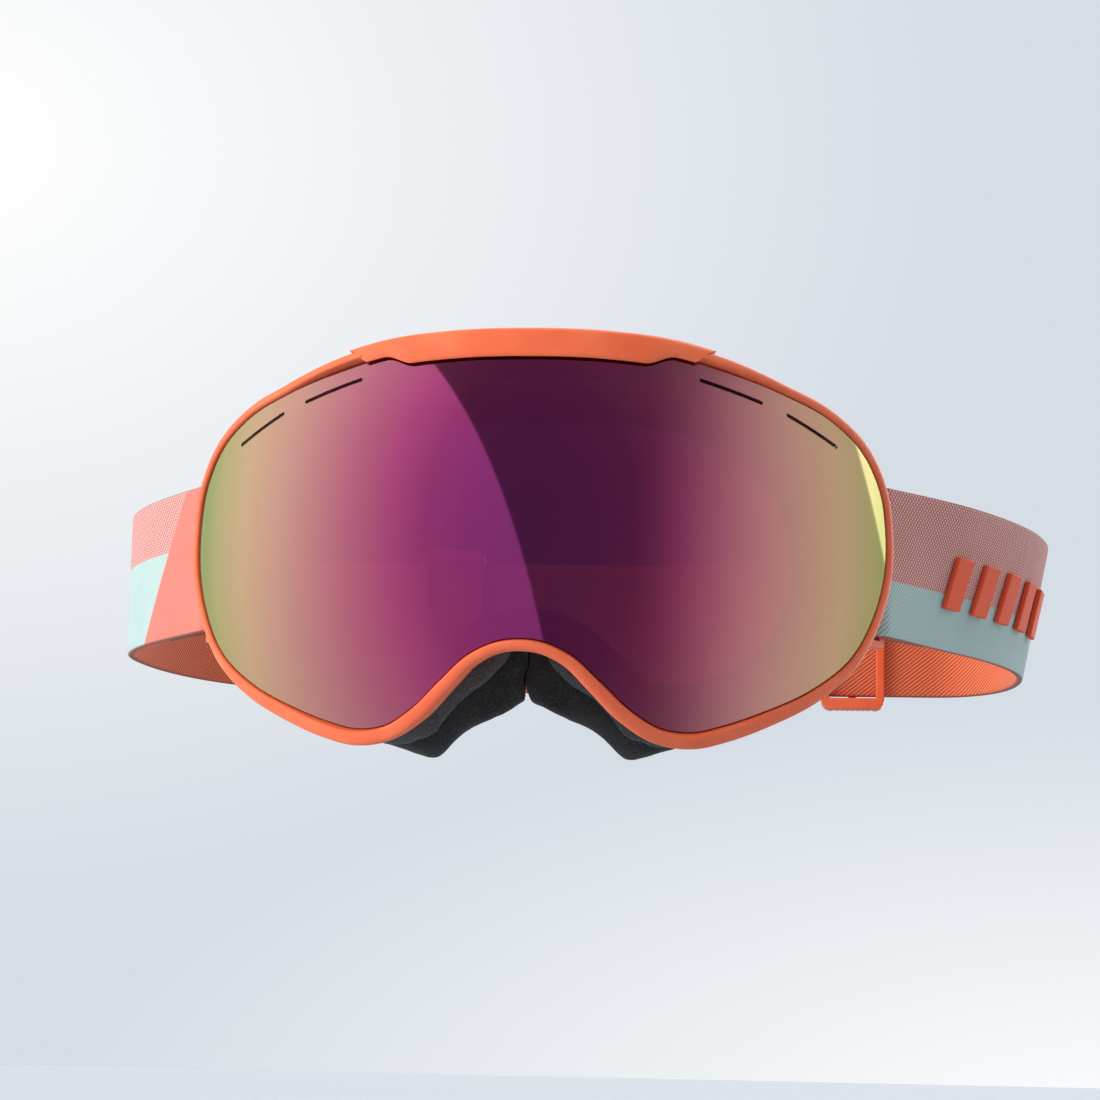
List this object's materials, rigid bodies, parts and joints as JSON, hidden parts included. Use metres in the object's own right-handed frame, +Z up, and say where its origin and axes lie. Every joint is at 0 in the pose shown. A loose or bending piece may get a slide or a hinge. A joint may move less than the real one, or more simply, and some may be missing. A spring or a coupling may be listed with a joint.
{
  "type": "ski goggles",
  "caption": "Ski goggles: a spherical mirrored double lens in a coral frame with face foam, on a wide elastic strap with ladder sliders at the back.",
  "frame": {"origin": "middle of the goggles' bounding box, with the strap at rest", "axes": "-Y out of the lens, +Y to the back of the head, +X to the wearer's left, +Z up"},
  "size_m": [0.2646, 0.2086, 0.1076],
  "materials": {
    "frame_coral": "moulded TPU, fine satin grain",
    "mirror_lens": "polycarbonate with a magenta to gold mirror coating",
    "clear_lens": "clear anti-fog acetate",
    "gasket": "open-cell black foam",
    "foam_grey": "dark grey polyurethane foam",
    "foam_black": "black polyurethane foam",
    "fleece": "black microfleece",
    "webbing": "jacquard-woven elastic",
    "slider_coral": "moulded acetal",
    "raised_rubber": "soft moulded silicone rubber"
  },
  "bodies": {
    "frame": {"front_rim": "frame_coral", "brow_cover": "frame_coral", "lens_outer": "mirror_lens", "lens_spacer": "gasket", "lens_inner": "clear_lens", "slot_filter_left": "gasket", "slot_filter_right": "gasket", "face_frame": "frame_coral", "vent_foam_top": "gasket", "vent_foam_low_left": "gasket", "vent_foam_low_right": "gasket", "foam_base": "foam_grey", "foam_mid": "foam_black", "fleece_liner": "fleece", "strap_bracket_left": "frame_coral", "strap_bracket_right": "frame_coral", "strap_left_front": "webbing", "strap_right_front": "webbing"},
    "strap_sides": {"strap_left_side": "webbing", "strap_left_quarter": "webbing", "strap_right_side": "webbing", "strap_right_quarter": "webbing", "raised_bar_1": "raised_rubber", "raised_bar_2": "raised_rubber", "raised_bar_3": "raised_rubber", "raised_bar_4": "raised_rubber", "raised_bar_5": "raised_rubber"},
    "strap_back": {"strap_left_corner": "webbing", "strap_left_run": "webbing", "strap_left_back": "webbing", "strap_left_tail": "webbing", "strap_right_corner": "webbing", "strap_right_run": "webbing", "strap_right_back": "webbing", "strap_right_tail": "webbing"},
    "slider_left": {"slider_left": "slider_coral"},
    "slider_right": {"slider_right": "slider_coral"}
  },
  "joints": [
    {"name": "strap_tilt", "type": "hinge", "parent": "frame", "child": "strap_sides", "pos_m": [-0.00673, -0.04521, 0.00191], "axis": [1, 0, 0], "range_deg": [-20, 20], "deforming": ["strap_left_front", "strap_right_front"]},
    {"name": "strap_stretch", "type": "slide", "parent": "strap_sides", "child": "strap_back", "axis": [0, 1, 0], "range_m": [0, 0.03], "stiffness_N_per_m": 80, "deforming": ["strap_left_quarter", "strap_right_quarter"]},
    {"name": "slider_left_slide", "type": "slide", "parent": "strap_back", "child": "slider_left", "axis": [1, 0, 0], "range_m": [-0.012, 0.012], "deforming": ["strap_right_tail"]},
    {"name": "slider_right_slide", "type": "slide", "parent": "strap_back", "child": "slider_right", "axis": [1, 0, 0], "range_m": [-0.012, 0.012], "deforming": ["strap_left_tail"]}
  ]
}
